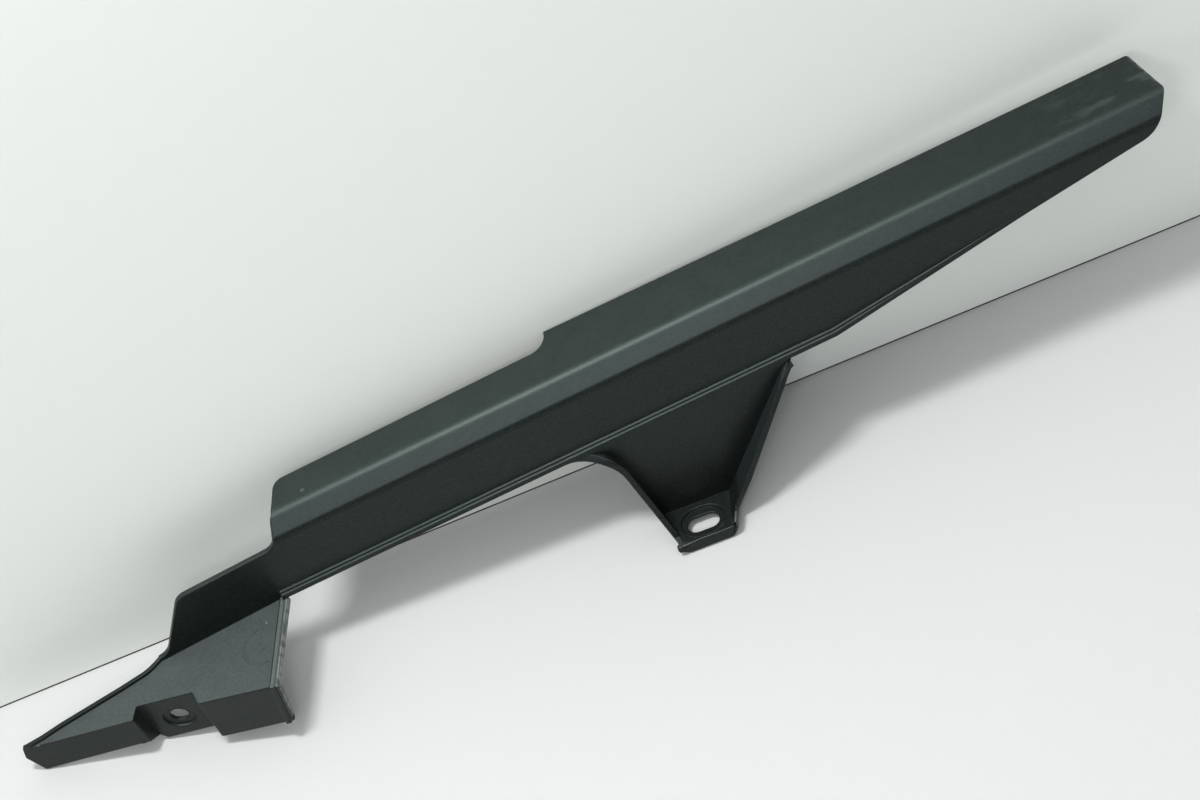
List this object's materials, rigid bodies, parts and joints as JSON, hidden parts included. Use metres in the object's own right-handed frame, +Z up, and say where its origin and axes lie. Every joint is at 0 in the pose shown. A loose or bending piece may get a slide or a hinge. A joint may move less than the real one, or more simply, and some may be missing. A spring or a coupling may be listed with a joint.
{
  "type": "motorcycle chain guard",
  "caption": "Moulded plastic chain guard: bent roof and side wall with a stepped rail, a boxed front bracket with a round hole, and a gusseted ear with a slot",
  "frame": {"origin": "axis of the front mount hole, on the floor of its bolt seat", "axes": "+X along the chain run towards the rear wheel, +Y inboard towards the wheel, +Z up as fitted"},
  "size_m": [0.5159, 0.0724, 0.0974],
  "materials": {
    "plastic": "fine-grained black moulded plastic with a soft sheen and light handling marks"
  },
  "bodies": {
    "root": {"chain_guard": "plastic"}
  },
  "joints": []
}
